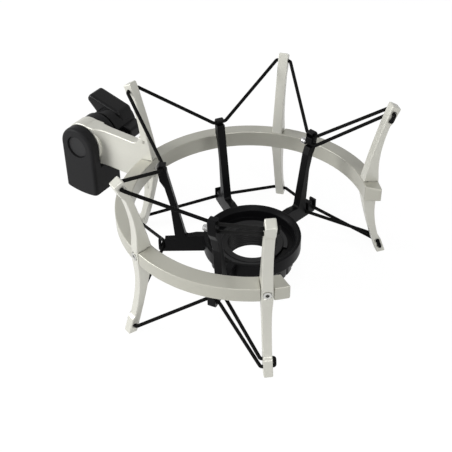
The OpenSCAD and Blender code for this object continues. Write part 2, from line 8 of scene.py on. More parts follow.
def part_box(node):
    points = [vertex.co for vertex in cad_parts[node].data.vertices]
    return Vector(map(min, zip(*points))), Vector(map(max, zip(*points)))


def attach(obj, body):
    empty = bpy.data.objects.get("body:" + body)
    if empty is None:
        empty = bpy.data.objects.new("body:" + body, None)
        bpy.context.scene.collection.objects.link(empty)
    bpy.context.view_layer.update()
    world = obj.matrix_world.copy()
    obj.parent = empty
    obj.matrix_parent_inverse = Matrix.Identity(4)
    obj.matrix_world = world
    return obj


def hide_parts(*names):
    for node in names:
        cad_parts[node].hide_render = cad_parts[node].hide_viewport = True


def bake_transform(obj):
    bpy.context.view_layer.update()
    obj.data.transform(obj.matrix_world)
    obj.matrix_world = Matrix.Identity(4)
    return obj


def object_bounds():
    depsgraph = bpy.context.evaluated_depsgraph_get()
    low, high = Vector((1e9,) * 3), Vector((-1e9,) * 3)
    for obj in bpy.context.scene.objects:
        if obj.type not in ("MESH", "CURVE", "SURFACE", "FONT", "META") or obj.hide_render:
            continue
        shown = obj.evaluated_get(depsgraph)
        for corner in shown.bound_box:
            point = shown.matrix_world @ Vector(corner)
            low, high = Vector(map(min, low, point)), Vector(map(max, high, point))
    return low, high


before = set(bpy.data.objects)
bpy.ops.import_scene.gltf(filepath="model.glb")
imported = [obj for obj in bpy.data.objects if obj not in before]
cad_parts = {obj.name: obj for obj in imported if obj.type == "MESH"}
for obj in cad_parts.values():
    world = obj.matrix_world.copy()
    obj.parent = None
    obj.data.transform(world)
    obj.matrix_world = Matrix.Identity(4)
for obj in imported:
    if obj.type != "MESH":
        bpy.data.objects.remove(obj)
cad_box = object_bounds()


# ---------------------------------------------------------------- camera
# A long lens looks down on the mount from its front right. The lens and the
# distance set how strongly the near posts stand out from the far ones.
MM = 0.001
scene = bpy.context.scene
ring_low, ring_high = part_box("ring_frame")
ring_r = ring_high.y
ring_mid = Vector((ring_low.x + ring_r, 0, (ring_low.z + ring_high.z) / 2))

view_azimuth = radians(35.56)
view_elevation = radians(38.805)
view_roll = radians(0.937)
view_distance = 529.5 * MM
view_target = ring_mid + Vector((0.07, -23.12, 0)) * MM

camera_data = bpy.data.cameras.new("camera")
camera_data.sensor_width = 36
camera_data.lens = 77.44
camera = bpy.data.objects.new("camera", camera_data)
scene.collection.objects.link(camera)
scene.camera = camera

view_back = Vector((
    sin(view_azimuth) * cos(view_elevation),
    -cos(view_azimuth) * cos(view_elevation),
    sin(view_elevation)))
level_right = Vector((cos(view_azimuth), sin(view_azimuth), 0))
level_up = view_back.cross(level_right)
view_right = level_right * cos(view_roll) - level_up * sin(view_roll)
view_up = level_right * sin(view_roll) + level_up * cos(view_roll)
turn = Matrix((view_right, view_up, view_back)).transposed().to_4x4()
camera.matrix_world = Matrix.Translation(view_target + view_back * view_distance) @ turn


# ---------------------------------------------------------------- studio
# The mount stands on a pale table that runs out of sight. Big soft boxes at
# the sides light its walls, and two small ones above light its top faces.
def add_node(tree, kind, inputs=None, **settings):
    node = tree.nodes.new(kind)
    for key, value in settings.items():
        setattr(node, key, value)
    for key, value in (inputs or {}).items():
        node.inputs[key].default_value = value
    return node


def seen_directly(tree):
    """1 for rays that show the background itself: camera, mirror-like and see-through ones."""
    path = add_node(tree, "ShaderNodeLightPath")
    first = add_node(tree, "ShaderNodeMath", operation="MAXIMUM")
    both = add_node(tree, "ShaderNodeMath", operation="MAXIMUM")
    tree.links.new(path.outputs["Is Camera Ray"], first.inputs[0])
    tree.links.new(path.outputs["Is Glossy Ray"], first.inputs[1])
    tree.links.new(first.outputs[0], both.inputs[0])
    tree.links.new(path.outputs["Is Transmission Ray"], both.inputs[1])
    return both.outputs[0]


def light_world():
    world = bpy.data.worlds.new("studio")
    world.use_nodes = True
    scene.world = world
    tree = world.node_tree
    tree.nodes.clear()
    fill = add_node(tree, "ShaderNodeBackground", {"Color": (0.97, 0.98, 1, 1), "Strength": 0.1})
    white = add_node(tree, "ShaderNodeBackground", {"Color": (1, 1, 1, 1), "Strength": 1})
    mix = add_node(tree, "ShaderNodeMixShader")
    out = add_node(tree, "ShaderNodeOutputWorld")
    tree.links.new(seen_directly(tree), mix.inputs[0])
    tree.links.new(fill.outputs[0], mix.inputs[1])
    tree.links.new(white.outputs[0], mix.inputs[2])
    tree.links.new(mix.outputs[0], out.inputs[0])


def lay_floor():
    half = 4.0
    mesh = bpy.data.meshes.new("floor")
    z = cad_box[0].z - 0.0002
    mesh.from_pydata(
        [(-half, -half, z), (half, -half, z), (half, half, z), (-half, half, z)],
        [], [(0, 1, 2, 3)])
    floor = bpy.data.objects.new("floor", mesh)
    scene.collection.objects.link(floor)
    material = bpy.data.materials.new("pale_table")
    material.use_nodes = True
    tree = material.node_tree
    tree.nodes.clear()
    matt = add_node(tree, "ShaderNodeBsdfDiffuse", {"Color": (0.82, 0.82, 0.82, 1)})
    glow = add_node(tree, "ShaderNodeEmission", {"Color": (1, 1, 1, 1), "Strength": 1.11})
    share = add_node(tree, "ShaderNodeMath", {1: 0.86}, operation="MULTIPLY")
    mix = add_node(tree, "ShaderNodeMixShader")
    out = add_node(tree, "ShaderNodeOutputMaterial")
    tree.links.new(seen_directly(tree), share.inputs[0])
    tree.links.new(share.outputs[0], mix.inputs[0])
    tree.links.new(matt.outputs[0], mix.inputs[1])
    tree.links.new(glow.outputs[0], mix.inputs[2])
    tree.links.new(mix.outputs[0], out.inputs[0])
    mesh.materials.append(material)


def hang_light(name, azimuth, elevation, distance, size, watts):
    a, e = radians(azimuth), radians(elevation)
    toward = Vector((sin(a) * cos(e), -cos(a) * cos(e), sin(e)))
    data = bpy.data.lights.new(name, "AREA")
    data.shape = "RECTANGLE"
    data.size, data.size_y = size
    data.energy = watts
    lamp = bpy.data.objects.new(name, data)
    scene.collection.objects.link(lamp)
    lamp.location = ring_mid + toward * distance
    lamp.rotation_euler = (-toward).to_track_quat("-Z", "Y").to_euler()


light_world()
lay_floor()
hang_light("left_box", -50, 18, 1.2, (0.7, 0.5), 12.2)
hang_light("right_box", 58, 18, 1.2, (0.5, 0.5), 5.2)
hang_light("key_box", 28, 52, 1.2, (0.25, 0.25), 1.1)
hang_light("crown_box", 30, 86, 1.2, (0.22, 0.22), 1.5)


# ---------------------------------------------------------------- ring frame
# A C-shaped ring, cast in light alloy and sprayed champagne silver. Its back
# and each post sit in notches cut through its outer wall.
def shade(piece, angle):
    piece.data.shade_smooth()
    piece.data.set_sharp_from_angle(angle=radians(angle))
    flat = piece.modifiers.new("flat_faces", "WEIGHTED_NORMAL")
    flat.keep_sharp = True
    flat.weight = 50


def surface(name, color, rough, metallic=0.0, spread=0.06, grain=900, bump=0.03, patch=30,
            rough_spread=0.08, **sockets):
    """Material with slow colour drift, a fine grain in the surface and uneven gloss."""
    material = bpy.data.materials.new(name)
    material.use_nodes = True
    tree = material.node_tree
    shader = tree.nodes["Principled BSDF"]
    shader.inputs["Metallic"].default_value = metallic
    for key, value in sockets.items():
        shader.inputs[key.replace("_", " ")].default_value = value
    where = add_node(tree, "ShaderNodeTexCoord").outputs["Object"]
    drift = add_node(tree, "ShaderNodeTexNoise", {"Scale": patch, "Detail": 4})
    fine = add_node(tree, "ShaderNodeTexNoise", {"Scale": grain, "Detail": 3, "Roughness": 0.6})
    tree.links.new(where, drift.inputs["Vector"])
    tree.links.new(where, fine.inputs["Vector"])
    tone = add_node(tree, "ShaderNodeMix", {"Factor": 0.5}, data_type="RGBA")
    tone.inputs[6].default_value = tuple(c * (1 - spread) for c in color) + (1,)
    tone.inputs[7].default_value = tuple(min(1, c * (1 + spread)) for c in color) + (1,)
    blend = add_node(tree, "ShaderNodeMath", {1: 0.5, 2: 0.25}, operation="MULTIPLY_ADD")
    tree.links.new(fine.outputs["Fac"], blend.inputs[0])
    both = add_node(tree, "ShaderNodeMath", {1: 0.5}, operation="MULTIPLY_ADD")
    tree.links.new(drift.outputs["Fac"], both.inputs[0])
    half = add_node(tree, "ShaderNodeMath", {1: 0.5}, operation="MULTIPLY")
    tree.links.new(blend.outputs[0], half.inputs[0])
    tree.links.new(half.outputs[0], both.inputs[2])
    tree.links.new(both.outputs[0], tone.inputs[0])
    tree.links.new(tone.outputs[2], shader.inputs["Base Color"])
    gloss = add_node(tree, "ShaderNodeMapRange",
                     {"From Min": 0.3, "From Max": 0.7,
                      "To Min": rough - rough_spread / 2, "To Max": rough + rough_spread / 2})
    tree.links.new(drift.outputs["Fac"], gloss.inputs["Value"])
    tree.links.new(gloss.outputs[0], shader.inputs["Roughness"])
    relief = add_node(tree, "ShaderNodeBump", {"Strength": bump * 10, "Distance": 0.02 * MM})
    tree.links.new(fine.outputs["Fac"], relief.inputs["Height"])
    tree.links.new(relief.outputs[0], shader.inputs["Normal"])
    return material


def dress(piece, material, body):
    piece.data.materials.clear()
    piece.data.materials.append(material)
    for polygon in piece.data.polygons:
        polygon.material_index = 0
    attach(piece, body)


def corner_arc(before, at, after, radius, steps=4):
    """Points that round one corner of an outline, as (x, y) pairs."""
    a, c, b = Vector(before), Vector(at), Vector(after)
    to_a, to_b = (a - c).normalized(), (b - c).normalized()
    half = acos(max(-1, min(1, to_a.dot(to_b)))) / 2
    reach = min(radius / max(tan(half), 1e-6), (a - c).length * 0.48, (b - c).length * 0.48)
    start, end = c + to_a * reach, c + to_b * reach
    return [((1 - s) ** 2 * start + 2 * s * (1 - s) * c + s * s * end)[:]
            for s in (i / steps for i in range(steps + 1))]


def rounded(corners):
    """Outline from (x, y, radius) corners."""
    points = []
    for i, (x, y, radius) in enumerate(corners):
        if radius == 0:
            points.append((x, y))
            continue
        points += corner_arc(corners[i - 1][:2], (x, y), corners[(i + 1) % len(corners)][:2], radius)
    return points


def inset(outline, depth):
    """Outline moved inwards by depth; it runs anticlockwise."""
    moved = []
    for i, at in enumerate(outline):
        p, q, r = Vector(outline[i - 1]), Vector(at), Vector(outline[(i + 1) % len(outline)])
        one, two = (q - p).normalized(), (r - q).normalized()
        left_one, left_two = Vector((-one.y, one.x)), Vector((-two.y, two.x))
        away = left_one + left_two
        away = away / max(away.length_squared / 2, 0.5)
        moved.append((q + away * depth)[:])
    return moved


def finish_mesh(name, bm, angle=38):
    bmesh.ops.recalc_face_normals(bm, faces=bm.faces)
    mesh = bpy.data.meshes.new(name)
    bm.to_mesh(mesh)
    bm.free()
    piece = bpy.data.objects.new(name, mesh)
    scene.collection.objects.link(piece)
    shade(piece, angle)
    return piece


champagne = surface("champagne_paint", (0.5, 0.493, 0.43), 0.33, metallic=0.25, grain=2500,
                    patch=35, spread=0.05, Specular_IOR_Level=0.4)
ring_out, ring_in, notch_r = 75.0, 65.9, 68.7
outer_half, inner_rise = 4.1, 1.0
ring_edge, least_edge = 0.65, 0.15
post_angles = (180, 109.5, -109.5, 49.25, -49.25)
post_w = 6.6
notch_half = post_w / 2 + 0.12
notch_ease = 0.35
end_angle = 39.85
end_round = 1.3
end_slant, slant_reach = 2.4, 4.5


def half_height(r):
    """Half the ring's height: it is a little taller on its inside."""
    return outer_half + inner_rise * (ring_out - r) / (ring_out - ring_in)


def ring_section(shrink=0.0, outer=ring_out, inner_too=True):
    """Section of the ring as (radius, height) pairs, with its whole or only its outer side inset."""
    corners = [(ring_in, -half_height(ring_in)), (outer, -half_height(outer)),
               (outer, half_height(outer)), (ring_in, half_height(ring_in))]
    less = inset(corners, shrink)
    if not inner_too:
        less = [corners[0], less[1], less[2], corners[3]]
    soft = max(least_edge, ring_edge - 0.4 * shrink) if inner_too else ring_edge
    return rounded([(r, z, soft) for r, z in less])


def degrees_at(r, length):
    """The turn, in degrees, that a length makes at a radius."""
    return length / r * 180 / pi


def ring_end(at, way, steps=6):
    """Stations that round off an end, from its face on; way is 1 or -1 along the ring."""
    stations = []
    for i in range(steps + 1):
        a = pi / 2 * i / steps
        along = degrees_at(ring_out, end_round * (1 - cos(a)))
        stations.append((at + way * along, 0, ring_section(end_round * (1 - sin(a)))))
    return stations


def plain_run(start, stop, step=1.5):
    """Stations with the whole section, evenly spaced between two directions."""
    count = int((stop - start) / step)
    return [(start + (stop - start) * i / count, 0, ring_section()) for i in range(1, count)]


def ring_stations():
    """Places round the ring: (direction, sideways distance from it, section)."""
    stations = ring_end(end_angle, 1)
    plain_from = end_angle + degrees_at(ring_out, end_round)
    notch_reach = degrees_at(ring_out, notch_half + notch_ease)
    whole, edge = ring_section(), ring_section(notch_ease, inner_too=False)
    web = ring_section(0, notch_r)
    for mark in sorted(a % 360 for a in post_angles):
        stations += plain_run(plain_from, mark - notch_reach)
        stations += [
            (mark, -notch_half - notch_ease, whole), (mark, -notch_half, edge),
            (mark, -notch_half, web), (mark, 0, web), (mark, notch_half, web),
            (mark, notch_half, edge), (mark, notch_half + notch_ease, whole)]
        plain_from = mark + notch_reach
    stop = 360 - end_angle
    stations += plain_run(plain_from, stop - degrees_at(ring_out, end_round))
    return stations + ring_end(stop, -1)[::-1]


def loft(bm, rows):
    """Skin over rows of points, with a flat face on each end."""
    made = [[bm.verts.new(p) for p in row] for row in rows]
    count = len(made[0])
    for one, two in zip(made, made[1:]):
        for k in range(count):
            n = (k + 1) % count
            bm.faces.new((one[k], two[k], two[n], one[n]))
    caps = [bm.faces.new(made[0]), bm.faces.new(made[-1][::-1])]
    for cap in caps:
        cap.normal_update()
    bmesh.ops.triangulate(bm, faces=caps, ngon_method="EAR_CLIP")


def ring_point(direction, sideways, r, z):
    """Place of a point of a section; the ends are cut slanting, so their inner corner is short."""
    from_end = min(direction, 360 - direction) - end_angle
    slant = end_slant * (ring_out - r) / (ring_out - ring_in) * max(0, 1 - from_end / slant_reach)
    a = radians(direction + (slant if direction < 180 else -slant)) + asin(sideways / r)
    return ring_mid + Vector((r * cos(a), r * sin(a), z)) * MM


bm = bmesh.new()
loft(bm, [[ring_point(direction, sideways, r, z) for r, z in section]
          for direction, sideways, section in ring_stations()])
bmesh.ops.remove_doubles(bm, verts=bm.verts, dist=0.001 * MM)
ring = finish_mesh("ring_casting", bm, 35)
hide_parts("ring_frame")
dress(ring, champagne, "frame")


# ---------------------------------------------------------------- posts
# Five slim posts in the same alloy and paint. Each has a block at either end
# with the cord's holes through it, and its middle sits in a notch of the ring.
root_in, root_out, root_up = 66.15, 75.35, 4.5
web_out, web_up = 68.85, 5.17
block_d, block_ease = 5.2, 0.7
post_edge = 0.55
leg_bow = 0.85
shelf_ease = 0.35
cord_hole_r, screw_hole_r = 1.3, 2.32
upper_leg = {"tip": 52.7, "out": 4.2, "block": 10.6, "ledge": 2.2, "drop": 2.6, "stem": 4.0,
             "wide": 5.7}
lower_leg = {"tip": 50.6, "out": 4.3, "block": 9.6, "ledge": 1.3, "drop": 0.3, "stem": 4.1,
             "wide": 5.1}
upper_holes = ((80.36, 47.6), (78.87, 43.14))
lower_holes = ((80.41, -45.6), (78.85, -41.16))


def leg_inside(leg, z):
    """Radius of a leg's inner face; it leans out and bows a little inwards."""
    s = (z - root_up) / (leg["tip"] - root_up)
    return root_in + (ring_out + leg["out"] - root_in) * s - 4 * leg_bow * s * (1 - s)


def leg_shelf(leg):
    """Height at which a leg's stem ends and the ledge under its block starts."""
    return leg["tip"] - leg["block"] - leg["ledge"]


def soft_min(a, b, softness=0.06):
    """The smaller of two values, with a rounded change from one to the other."""
    return (a + b - sqrt((a - b) ** 2 + softness)) / 2


def stem_at(leg, z):
    """Outer radius and half width of a leg between the ring and its block."""
    s = (z - web_up) / (leg_shelf(leg) - shelf_ease - web_up)
    full, slim = post_w / 2 - 0.1, leg["wide"] / 2
    thick = root_out - root_in - leg["stem"]
    out = leg_inside(leg, z) + leg["stem"] + thick * (1 - s) ** 2.4
    bound = root_out + 0.1 * max(0, z - web_up - 2) ** 2
    return soft_min(bound, out), soft_min(full, slim + (full - slim) * (1 - s) ** 5)


def leg_rows(leg):
    """Rows up a leg: its height on the inner and outer face, both radii, half its width."""
    shelf, depth, half = leg_shelf(leg), block_d - leg["stem"], leg["wide"] / 2
    rows = []
    for z in (0.8, 2.2, 3.4, 4.4, web_up):
        rows.append((z, z, web_out) + stem_at(leg, z))
    for i in range(19):
        z = web_up + (shelf - shelf_ease - web_up) * i / 18
        rows.append((z, z, leg_inside(leg, z)) + stem_at(leg, z))
    bottom = shelf + leg["ledge"] + 0.4
    ledge = ((shelf, leg["stem"] + 0.1), (shelf + 0.3, leg["stem"] + 0.175 * depth),
             (bottom - 0.75, block_d - 0.22), (bottom - 0.4, block_d - 0.06), (bottom, block_d))
    for z, deep in ledge:
        r = leg_inside(leg, z)
        rows.append((z, z, r, r + deep, half))
    top, drop = leg["tip"], leg["drop"]
    for i in range(1, 6):
        s = i / 6
        z = bottom + (top - block_ease - bottom) * s
        r = leg_inside(leg, z)
        rows.append((z, z - drop * s, r, r + block_d, half))
    for i in range(5):
        a = pi / 2 * i / 4
        ease = block_ease * (1 - cos(a))
        z = top - block_ease * (1 - sin(a))
        r = leg_inside(leg, z)
        rows.append((z, z - drop, r + ease, r + block_d - ease, half - ease))
    return rows


def post_rows():
    """The whole post from its lower tip to its upper one; the middle leaves room for the ring."""
    below = [(-a, -b, r, out, half) for a, b, r, out, half in reversed(leg_rows(lower_leg))]
    return below + leg_rows(upper_leg)


def post_section(row, spin):
    """Loop of points round a post; its height may differ from the inner to the outer face."""
    z_in, z_out, r_in, r_out, half = row
    corner = min(post_edge, half * 0.6)
    section = rounded([(r_in, -half, corner), (r_out, -half, corner), (r_out, half, corner),
                       (r_in, half, corner)])
    points = []
    for r, t in section:
        z = z_in + (z_out - z_in) * (r - r_in) / (r_out - r_in)
        points.append(ring_mid + spin @ Vector((r, t, z)) * MM)
    return points


def slab(bm, outline, low, high, ease, place, steps=3):
    """Adds a plate with eased rims: an anticlockwise outline carried from low to high."""
    area = sum(a[0] * b[1] - b[0] * a[1] for a, b in zip(outline, outline[1:] + outline[:1]))
    if area < 0:
        outline = outline[::-1]
    levels = []
    for i in range(steps + 1):
        a = pi / 2 * i / steps
        levels.append((ease * (1 - sin(a)), low + ease * (1 - cos(a))))
    levels += [(depth, high + low - h) for depth, h in reversed(levels)]
    rows = []
    for depth, h in levels:
        shape = inset(outline, depth)
        rows.append([bm.verts.new(place(x, y, h)) for x, y in shape])
    count = len(outline)
    caps = [bm.faces.new(rows[0][::-1]), bm.faces.new(rows[-1])]
    for one, two in zip(rows, rows[1:]):
        for k in range(count):
            n = (k + 1) % count
            bm.faces.new((one[k], one[n], two[n], two[k]))
    for cap in caps:
        cap.normal_update()
    bmesh.ops.triangulate(bm, faces=caps, ngon_method="EAR_CLIP")


def bake_modifiers(piece):
    """Replaces a mesh by what its modifiers make of it."""
    graph = bpy.context.evaluated_depsgraph_get()
    made = bpy.data.meshes.new_from_object(piece.evaluated_get(graph), depsgraph=graph)
    piece.modifiers.clear()
    piece.data = made


def cut_holes(piece, spots, r, place, reach=8, sides=32):
    """Bores round holes through a piece; place puts a spot and a depth where they belong."""
    turns = [2 * pi * i / sides for i in range(sides)]
    for x, y in spots:
        bm = bmesh.new()
        slab(bm, [(x + r * cos(a), y + r * sin(a)) for a in turns], -reach, reach, 0.1, place)
        drill = finish_mesh("drill", bm)
        bore = piece.modifiers.new("bore", "BOOLEAN")
        bore.operation = "DIFFERENCE"
        bore.solver = "EXACT"
        bore.object = drill
        bake_modifiers(piece)
        bpy.data.objects.remove(drill)


def make_post(name, angle, double):
    """A post at its place round the ring, with one or two cord holes in each block."""
    spin = Matrix.Rotation(radians(angle), 3, "Z")

    def through_width(x, y, h):
        return ring_mid + spin @ Vector((x, -h, y)) * MM

    def through_root(x, y, h):
        return ring_mid + spin @ Vector((root_out - 6.8 + h, x, y)) * MM

    bm = bmesh.new()
    loft(bm, [post_section(row, spin) for row in post_rows()])
    bmesh.ops.remove_doubles(bm, verts=bm.verts, dist=0.001 * MM)
    post = finish_mesh(name, bm)
    holes = upper_holes + lower_holes if double else upper_holes[:1] + lower_holes[:1]
    cut_holes(post, holes, cord_hole_r, through_width)
    if angle != 180:
        cut_holes(post, [(0, 0)], screw_hole_r, through_root)
    return post


silver = surface("silver_paint", (0.66, 0.654, 0.59), 0.32, metallic=0.25, grain=2500, patch=45,
                 spread=0.04, Specular_IOR_Level=0.4)
for node, angle in zip(("post_left", "post_right", "post_front_left", "post_front_right"),
                       post_angles[1:]):
    post = make_post(node + "_casting", angle, "front" in node)
    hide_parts(node)
    dress(post, silver, "frame")


# ---------------------------------------------------------------- bracket
# The back post is cast in one with a plate that carries the pivot's barrel.
# The plate swells to the barrel's width where it meets it.
pivot = Vector((-120.5, 0, 26.2))
barrel_r, barrel_half, barrel_bore = 12.9, 5.0, 4.52
barrel_edge, bore_edge = 0.9, 0.2
pivot_reach = 118.5
plate_edge = 0.9
plate_rise, plate_fall = 13.1, -12.3
rise_from, fall_from, corner_r = 81.5, 79.5, 5
flare_from, flare_run, flare_wide = 98.6, 11, 2


def across(x, y, h):
    """Place of a point on a piece turned about the pivot: h runs along the bolt."""
    return (pivot + Vector((x, h, y))) * MM


def close_rows(bm, rows):
    """Skins a closed loop of rows, each of them a closed loop of points."""
    made = [[bm.verts.new(p) for p in row] for row in rows]
    count = len(made[0])
    for here, there in zip(made, made[1:] + made[:1]):
        for j in range(count):
            k = (j + 1) % count
            bm.faces.new((here[j], there[j], there[k], here[k]))


def revolve(bm, profile, sides, place):
    """Adds a closed ring turned from a loop of (radius, height) pairs."""
    turns = [2 * pi * i / sides for i in range(sides)]
    close_rows(bm, [[place(r * cos(a), r * sin(a), h) for r, h in profile] for a in turns])


def progress(x, start, run):
    """How far x has come along a run, from 0 at its start to 1 at its end."""
    return max(0, min(1, (x - start) / run))


def plate_half(x):
    """Half the plate's thickness: it swells to the barrel and thins behind the post."""
    s = progress(x, flare_from, flare_run)
    thin = 3.0 - 0.13 * progress(x, 80, -5)
    return thin + flare_wide * (1 - sqrt(1 - s * s))


def plate_top(x):
    """Height of the plate's upper edge, which curves up into the post."""
    over = progress(x, rise_from, -corner_r)
    sink = progress(x, 102, 10)
    return plate_rise + corner_r * (1 - sqrt(1 - over * over)) - 0.4 * sink * sink * (3 - 2 * sink)


def plate_bottom(x):
    """Height of the plate's lower edge, which curves down into the post."""
    over = progress(x, fall_from, -corner_r)
    return plate_fall - corner_r * (1 - sqrt(1 - over * over))


def plate_row(x):
    """Section of the plate at a distance from the ring's axis."""
    half, low, high = plate_half(x), plate_bottom(x), plate_top(x)
    section = rounded([(-half, low, plate_edge), (half, low, plate_edge), (half, high, plate_edge),
                       (-half, high, plate_edge)])
    return [ring_mid + Vector((-x, t, z)) * MM for t, z in section]


run = [71.6] + [74.5 + 7 * (i / 18) ** 1.4 for i in range(19)]
run += [82 + (flare_from - 82) * i / 8 for i in range(9)]
run += [flare_from + flare_run * sin(pi / 2 * i / 14) for i in range(1, 15)]
run += [111.0, 113.8, 116.0, pivot_reach]
bm = bmesh.new()
loft(bm, [plate_row(x) for x in run])
plate = finish_mesh("plate", bm)
cut_holes(plate, [(0, 0)], barrel_bore, across)
back_post = make_post("post", 180, False)
bm = bmesh.new()
for part in (plate, back_post):
    bm.from_mesh(part.data)
    bpy.data.objects.remove(part)
barrel = rounded([(barrel_bore, -barrel_half, bore_edge), (barrel_r, -barrel_half, barrel_edge),
                  (barrel_r, barrel_half, barrel_edge), (barrel_bore, barrel_half, bore_edge)])
revolve(bm, barrel, 144, across)
bracket = finish_mesh("bracket_casting", bm)
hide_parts("bracket_post")
dress(bracket, silver, "frame")


# ---------------------------------------------------------------- post screws
# Five zinc-plated steel screws with a hexagon socket hold the posts to the ring.
# Four have their heads in the posts, with sockets painted dark as shade, and the
# back post's screw has its head inside the ring.
def from_cad(name, node, bevel, segments=3, sharp=32):
    """A new piece with the shape of a CAD node: flat faces made whole, edges eased."""
    bm = bmesh.new()
    bm.from_mesh(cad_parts[node].data)
    bmesh.ops.remove_doubles(bm, verts=bm.verts, dist=0.002 * MM)
    bmesh.ops.dissolve_limit(
        bm, angle_limit=radians(0.6), verts=bm.verts, edges=bm.edges,
        use_dissolve_boundaries=False)
    mesh = bpy.data.meshes.new(name)
    bm.to_mesh(mesh)
    bm.free()
    piece = bpy.data.objects.new(name, mesh)
    scene.collection.objects.link(piece)
    ease = piece.modifiers.new("ease", "BEVEL")
    ease.width = bevel * MM
    ease.segments = segments
    ease.limit_method = "ANGLE"
    ease.angle_limit = radians(sharp)
    ease.use_clamp_overlap = True
    ease.miter_outer = "MITER_ARC"
    bake_modifiers(piece)
    shade(piece, 40)
    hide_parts(node)
    return piece


zinc = surface("zinc_plate", (0.56, 0.56, 0.54), 0.3, metallic=1.0, grain=1800, patch=200)
# Near-black metal for the inside of the sockets: painted shade in the recesses.
socket_shade = surface("socket_painted_shade", (0.05, 0.05, 0.048), 0.35, metallic=1.0, grain=1800, patch=200)
screws = from_cad("post_screw_set", "post_screws", 0.4)
dress(screws, zinc, "frame")
screws.data.materials.append(socket_shade)
socket_half, socket_floor, socket_mouth = 1.35, 74, 75.2
# Faces inside the four posts' sockets get the near-black metal: painted shade.
for face in screws.data.polygons:
    for angle in post_angles[1:]:
        at = Matrix.Rotation(radians(-angle), 3, "Z") @ (face.center - ring_mid) / MM
        if socket_floor < at.x < socket_mouth and max(abs(at.y), abs(at.z)) < socket_half:
            face.material_index = 1


# ---------------------------------------------------------------- cradle
# One black glass-filled moulding: a cup with four arms, each with an upright
# that ends in a hook and a foot with a second hook under it.
seat_r = 1.3
slot_half = 1.15
arm_w = 4.6
arm_angles = (146.5, -146.5, 80.5, -80.5)
upper_seats = ((49.4, 52.0), (48.255, 46.11))
lower_seats = ((51.4, -2.4), (45.4, -2.4))
front_drop = 2.0
arm_ease = 0.35
slot_ease = 0.45
foot_arc, hook_arc = (28.2, -236.4), (118, -236)


def seat_arc(seat, arc, steps=10):
    """The round bottom of a cord slot, as outline corners; arc is its start and sweep."""
    corners = []
    for i in range(steps + 1):
        a = radians(arc[0] + arc[1] * i / steps)
        corners.append((seat[0] + seat_r * cos(a), seat[1] + seat_r * sin(a), 0))
    return corners


def arm_outline(double):
    """Side view of an arm, from inside the cup's wall: radius, height and corner radius."""
    low = [(25.6, -3.2, 0), (26.4, -5.4, 0.5), (52.6, -6.0, 0.9), (54.0, -4.6, 0.9),
           (54.0, 2.2, 0.5)]
    x = lower_seats[0][0]
    low += [(x + slot_half, 2.2, slot_ease)] + seat_arc(lower_seats[0], foot_arc)
    low += [(x - slot_half, 2.3, slot_ease)]
    if double:
        x = lower_seats[1][0]
        low += [(x + slot_half, 2.5, slot_ease)] + seat_arc(lower_seats[1], foot_arc)
        low += [(x - slot_half, 5.7, 0.2)]
    else:
        low += [(44.05, 2.65, 0.8)]
    high = [(46.0, 28.0, 3), (48.5, 39.5, 2), (51.0, 44.0, 2), (51.9, 52.6, 0.8),
            (50.8, 54.1, 0.8), (47.1, 54.1, 0.6)]
    z = upper_seats[0][1]
    high += [(46.9, z + slot_half, slot_ease)] + seat_arc(upper_seats[0], hook_arc)
    high += [(46.73, z - slot_half, slot_ease), (46.5, 48.0, 0.4)]
    if double:
        z = upper_seats[1][1]
        high += [(46.35, z + slot_half, slot_ease)] + seat_arc(upper_seats[1], hook_arc)
        high += [(45.89, z - slot_half, slot_ease), (44.1, 40.5, 1.5)]
        high = [(r, z - front_drop * max(0, min(1, (z - 28) / 10)), soft) for r, z, soft in high]
    back = [(37.64, 4.17, 1.6), (32.0, 5.4, 1.0), (27.2, 5.4, 0), (25.6, 4.0, 0)]
    return rounded(low + high + back)


cup_rim, cup_floor, cup_bottom = 5.5, -1.3, -3.7
cup_profile = (
    [(18.1, cup_bottom), (27.1, cup_bottom), (27.6, cup_bottom + 0.18), (27.87, cup_bottom + 0.5),
     (28.0, cup_bottom + 0.9), (28.0, cup_rim - 0.6), (27.9, cup_rim - 0.25),
     (27.65, cup_rim - 0.05), (27.4, cup_rim), (26.45, cup_rim), (26.15, cup_rim - 0.08),
     (24.45, cup_rim - 1.78), (24.3, cup_rim - 2.1), (24.3, cup_floor + 0.5),
     (24.15, cup_floor + 0.15), (23.8, cup_floor), (18.5, cup_floor), (18.1, cup_floor - 0.3)])
bm = bmesh.new()
revolve(bm, cup_profile, 144, lambda x, y, z: Vector((x, y, z)) * MM)
for i, angle in enumerate(arm_angles):
    spin = Matrix.Rotation(radians(angle), 3, "Z")
    slab(bm, arm_outline(i > 1), -arm_w / 2, arm_w / 2, arm_ease,
         lambda x, y, h: spin @ Vector((x, -h, y)) * MM)
cradle = finish_mesh("cradle_moulding", bm)
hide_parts("cradle")
black_moulding = surface("black_moulding", (0.0045, 0.0045, 0.005), 0.36, grain=1500, bump=0.05,
                         patch=60, spread=0.25, Specular_IOR_Level=0.07)
dress(cradle, black_moulding, "cradle_unit")


# ---------------------------------------------------------------- locking nut
# A turned nut in satin black with finger flutes and a fine thread right
# through it. A snap ring in its groove keeps it in the floor of the cup.
def thread_wall(angle, r, low, high, pitch, depth, steps=8):
    """Inner wall with a thread cut outwards from radius r, from high down to low."""
    count = int((high - low) / pitch * steps)
    wall = []
    for i in range(count + 1):
        z = high - (high - low) * i / count
        turns = (z / pitch - angle / (2 * pi)) % 1
        groove = max(0, 1 - abs(turns - 0.5) * 2.6)
        fade = min(1, (high - z) / pitch, (z - low) / pitch)
        wall.append((r + depth * groove * max(0, fade), z))
    return wall


nut_low, nut_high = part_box("locking_nut")
nut_bottom, nut_top = nut_low.z / MM, nut_high.z / MM
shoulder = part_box("thrust_washer")[0].z / MM - 0.1
grip_r = nut_high.x / MM
neck_r = 18.0
flutes, flute_depth = 20, 0.9
thread_r, thread_pitch, thread_depth = 14.3, 1.5, 0.75


